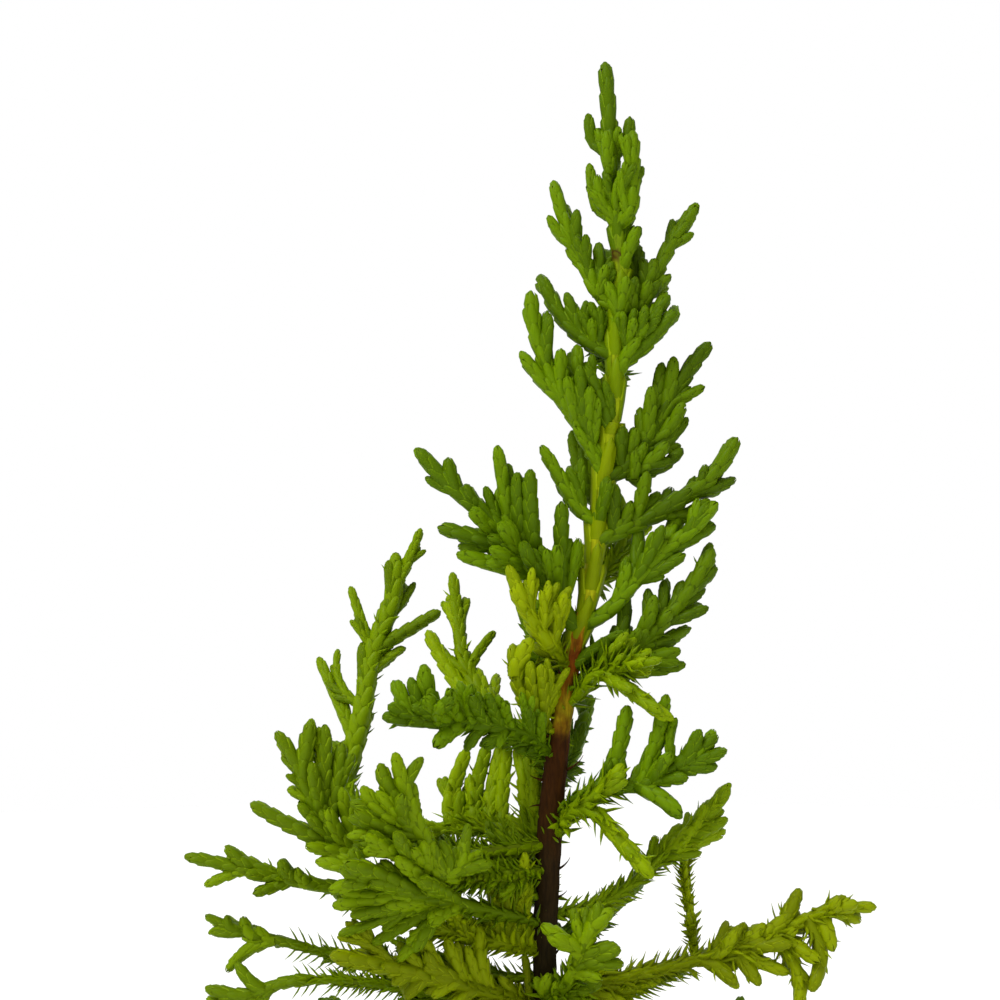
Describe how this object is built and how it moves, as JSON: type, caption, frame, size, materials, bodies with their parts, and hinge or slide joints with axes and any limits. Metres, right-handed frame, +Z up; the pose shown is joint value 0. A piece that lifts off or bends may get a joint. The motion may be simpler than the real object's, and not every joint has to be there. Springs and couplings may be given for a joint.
{
  "type": "leyland cypress, young plant",
  "caption": "Young upright conifer with one tapering stem and flat sprays of cord-like shoots in scale leaves, some of them sharp, all round it.",
  "frame": {"origin": "middle of the flat cut under the stem, at ground level", "axes": "+Z up along the stem, +X to the right of the side that the picture shows, +Y to the back of the plant"},
  "size_m": [0.0688, 0.0397, 0.12],
  "materials": {
    "bark": "matt red-brown to near-black bark, green towards the tip",
    "green_wood": "matt yellow-green young wood",
    "sharp_leaves": "satin yellow-green sharp leaves",
    "scale_leaves": "satin green scale leaves"
  },
  "bodies": {
    "root": {"back_1": "scale_leaves", "back_2": "scale_leaves", "back_3": "scale_leaves", "back_4": "scale_leaves", "back_5": "scale_leaves", "back_6": "scale_leaves", "back_7": "scale_leaves", "bough_left": "green_wood", "bough_left_back": "green_wood", "bough_left_front": "green_wood", "bough_left_lowest": "green_wood", "bough_left_needled": "green_wood", "bough_right": "green_wood", "crown_left": "scale_leaves", "crown_right": "scale_leaves", "left_1": "scale_leaves", "left_10": "scale_leaves", "left_11_behind": "sharp_leaves", "left_2": "scale_leaves", "left_3": "scale_leaves", "left_4": "scale_leaves", "left_4_behind": "scale_leaves", "left_5": "scale_leaves", "left_6": "sharp_leaves", "left_7": "scale_leaves", "left_8_behind": "scale_leaves", "left_9_behind": "scale_leaves", "low_front_right": "scale_leaves", "low_left_blunt": "sharp_leaves", "low_left_feathered": "sharp_leaves", "low_left_fork": "scale_leaves", "low_left_front": "scale_leaves", "low_left_front_up": "scale_leaves", "low_left_long": "scale_leaves", "low_left_rising": "scale_leaves", "low_right": "sharp_leaves", "lowest_1": "scale_leaves", "lowest_2": "scale_leaves", "lowest_3": "scale_leaves", "lowest_4": "scale_leaves", "lowest_5": "scale_leaves", "lowest_6": "scale_leaves", "lowest_7": "scale_leaves", "lowest_left_fork": "scale_leaves", "right_1": "scale_leaves", "right_1_lower": "scale_leaves", "right_2": "scale_leaves", "right_3": "scale_leaves", "right_4": "scale_leaves", "right_5": "scale_leaves", "right_6": "scale_leaves", "right_7": "scale_leaves", "right_8": "sharp_leaves", "right_9_behind": "sharp_leaves", "right_thin": "sharp_leaves", "stem": "bark", "tip_back": "scale_leaves", "tip_front": "scale_leaves", "tip_left": "scale_leaves", "tip_right": "scale_leaves"}
  },
  "joints": []
}
